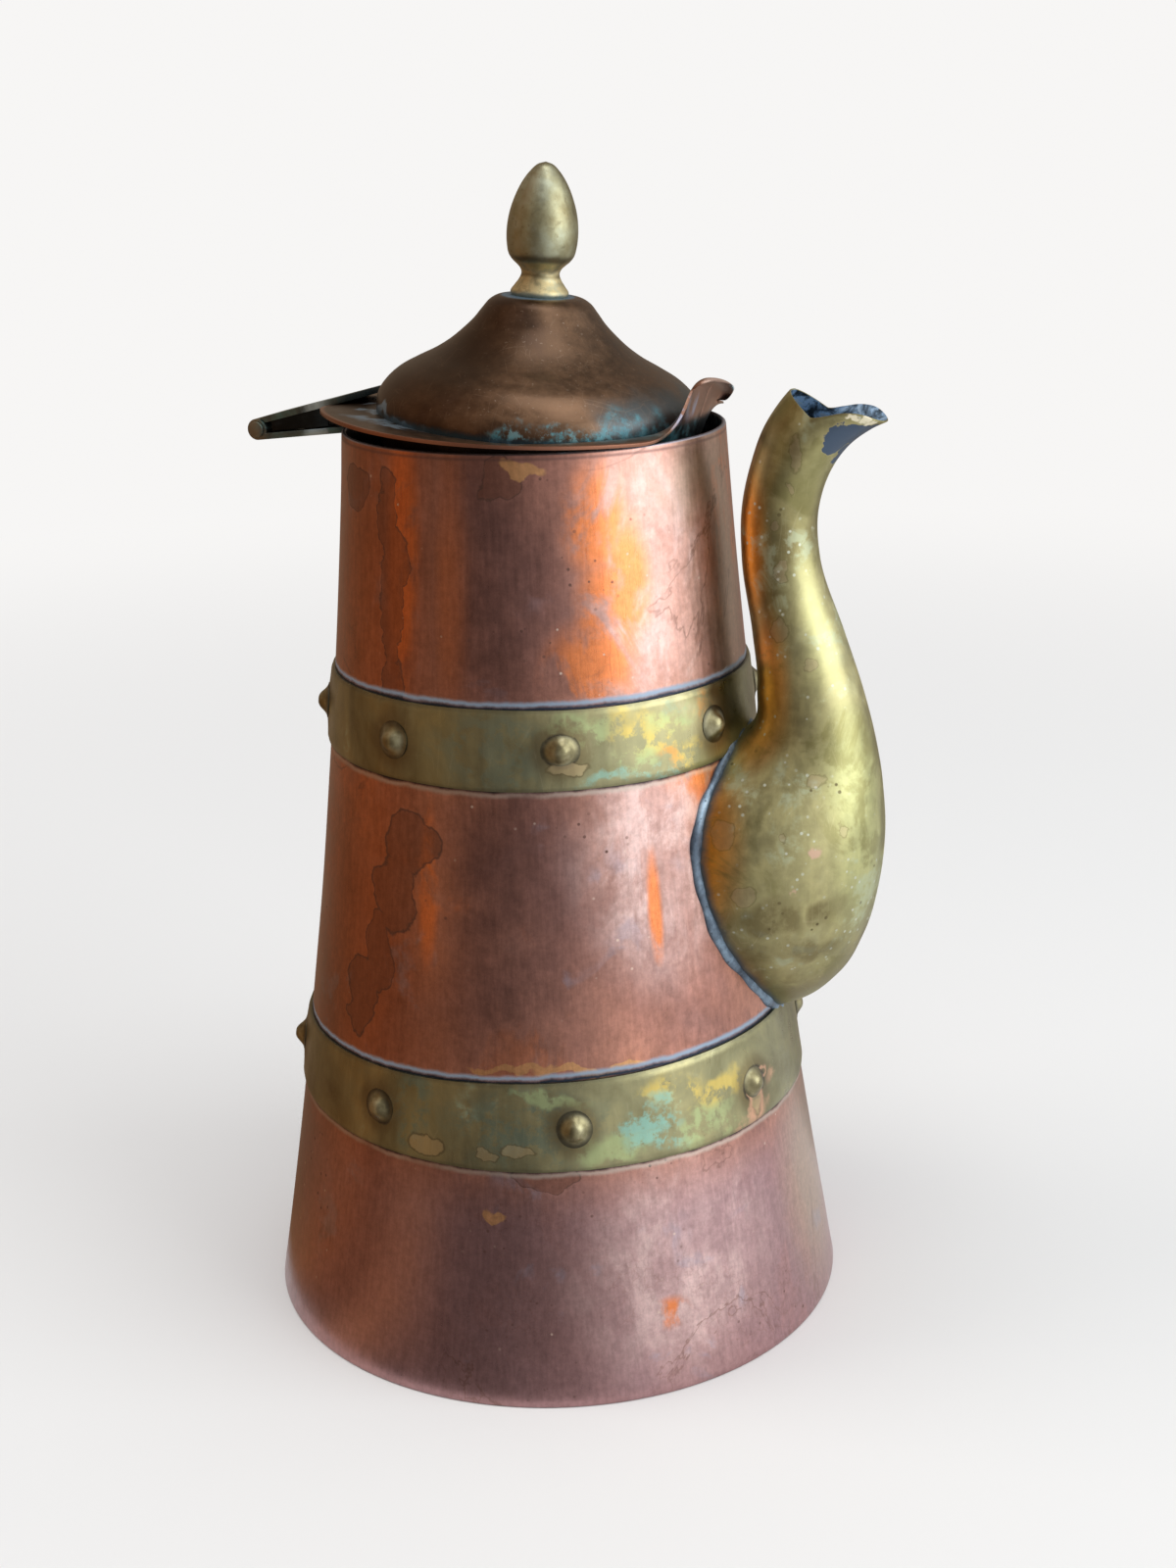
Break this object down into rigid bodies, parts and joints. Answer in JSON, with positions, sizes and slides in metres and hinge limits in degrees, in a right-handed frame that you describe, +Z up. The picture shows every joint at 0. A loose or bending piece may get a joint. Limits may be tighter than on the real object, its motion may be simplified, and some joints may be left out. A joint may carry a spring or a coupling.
{
  "type": "chocolate pot",
  "caption": "Tall tapering copper pot with riveted brass hoops, a swan-necked brass spout and a domed lid with a finial on a strap hinge.",
  "frame": {"origin": "centre of the base, in the plane that the pot stands on", "axes": "+Z up along the pot's axis, +X towards the spout, +Y along the hinge pin"},
  "size_m": [0.1303, 0.12, 0.2295],
  "materials": {
    "copper_body": "worn satin copper, stained and streaked",
    "copper_lid": "dark brown copper with blue-green tarnish",
    "brass_hoop": "tarnished satin brass",
    "brass_spout": "worn satin brass",
    "brass_finial": "dull satin brass",
    "hinge_metal": "dark tarnished metal",
    "solder": "dull grey solder"
  },
  "bodies": {
    "pot": {"body_shell": "copper_body", "base_plate": "copper_body", "upper_hoop": "brass_hoop", "upper_hoop_rivets": "brass_hoop", "lower_hoop": "brass_hoop", "lower_hoop_rivets": "brass_hoop", "spout_left_half": "brass_spout", "spout_right_half": "brass_spout", "spout_solder": "solder", "hinge_body_leaf": "hinge_metal", "hinge_pin": "hinge_metal"},
    "lid": {"lid_dome": "copper_lid", "lid_brim": "copper_lid", "lid_liner": "copper_lid", "finial": "brass_finial", "finial_washer": "brass_finial", "finial_nut": "brass_finial", "hinge_lid_leaf": "hinge_metal"}
  },
  "joints": [
    {"name": "lid_hinge", "type": "hinge", "parent": "pot", "child": "lid", "pos_m": [-0.057, 0, 0.1789], "axis": [0, -1, 0], "range_deg": [0, 110]}
  ]
}
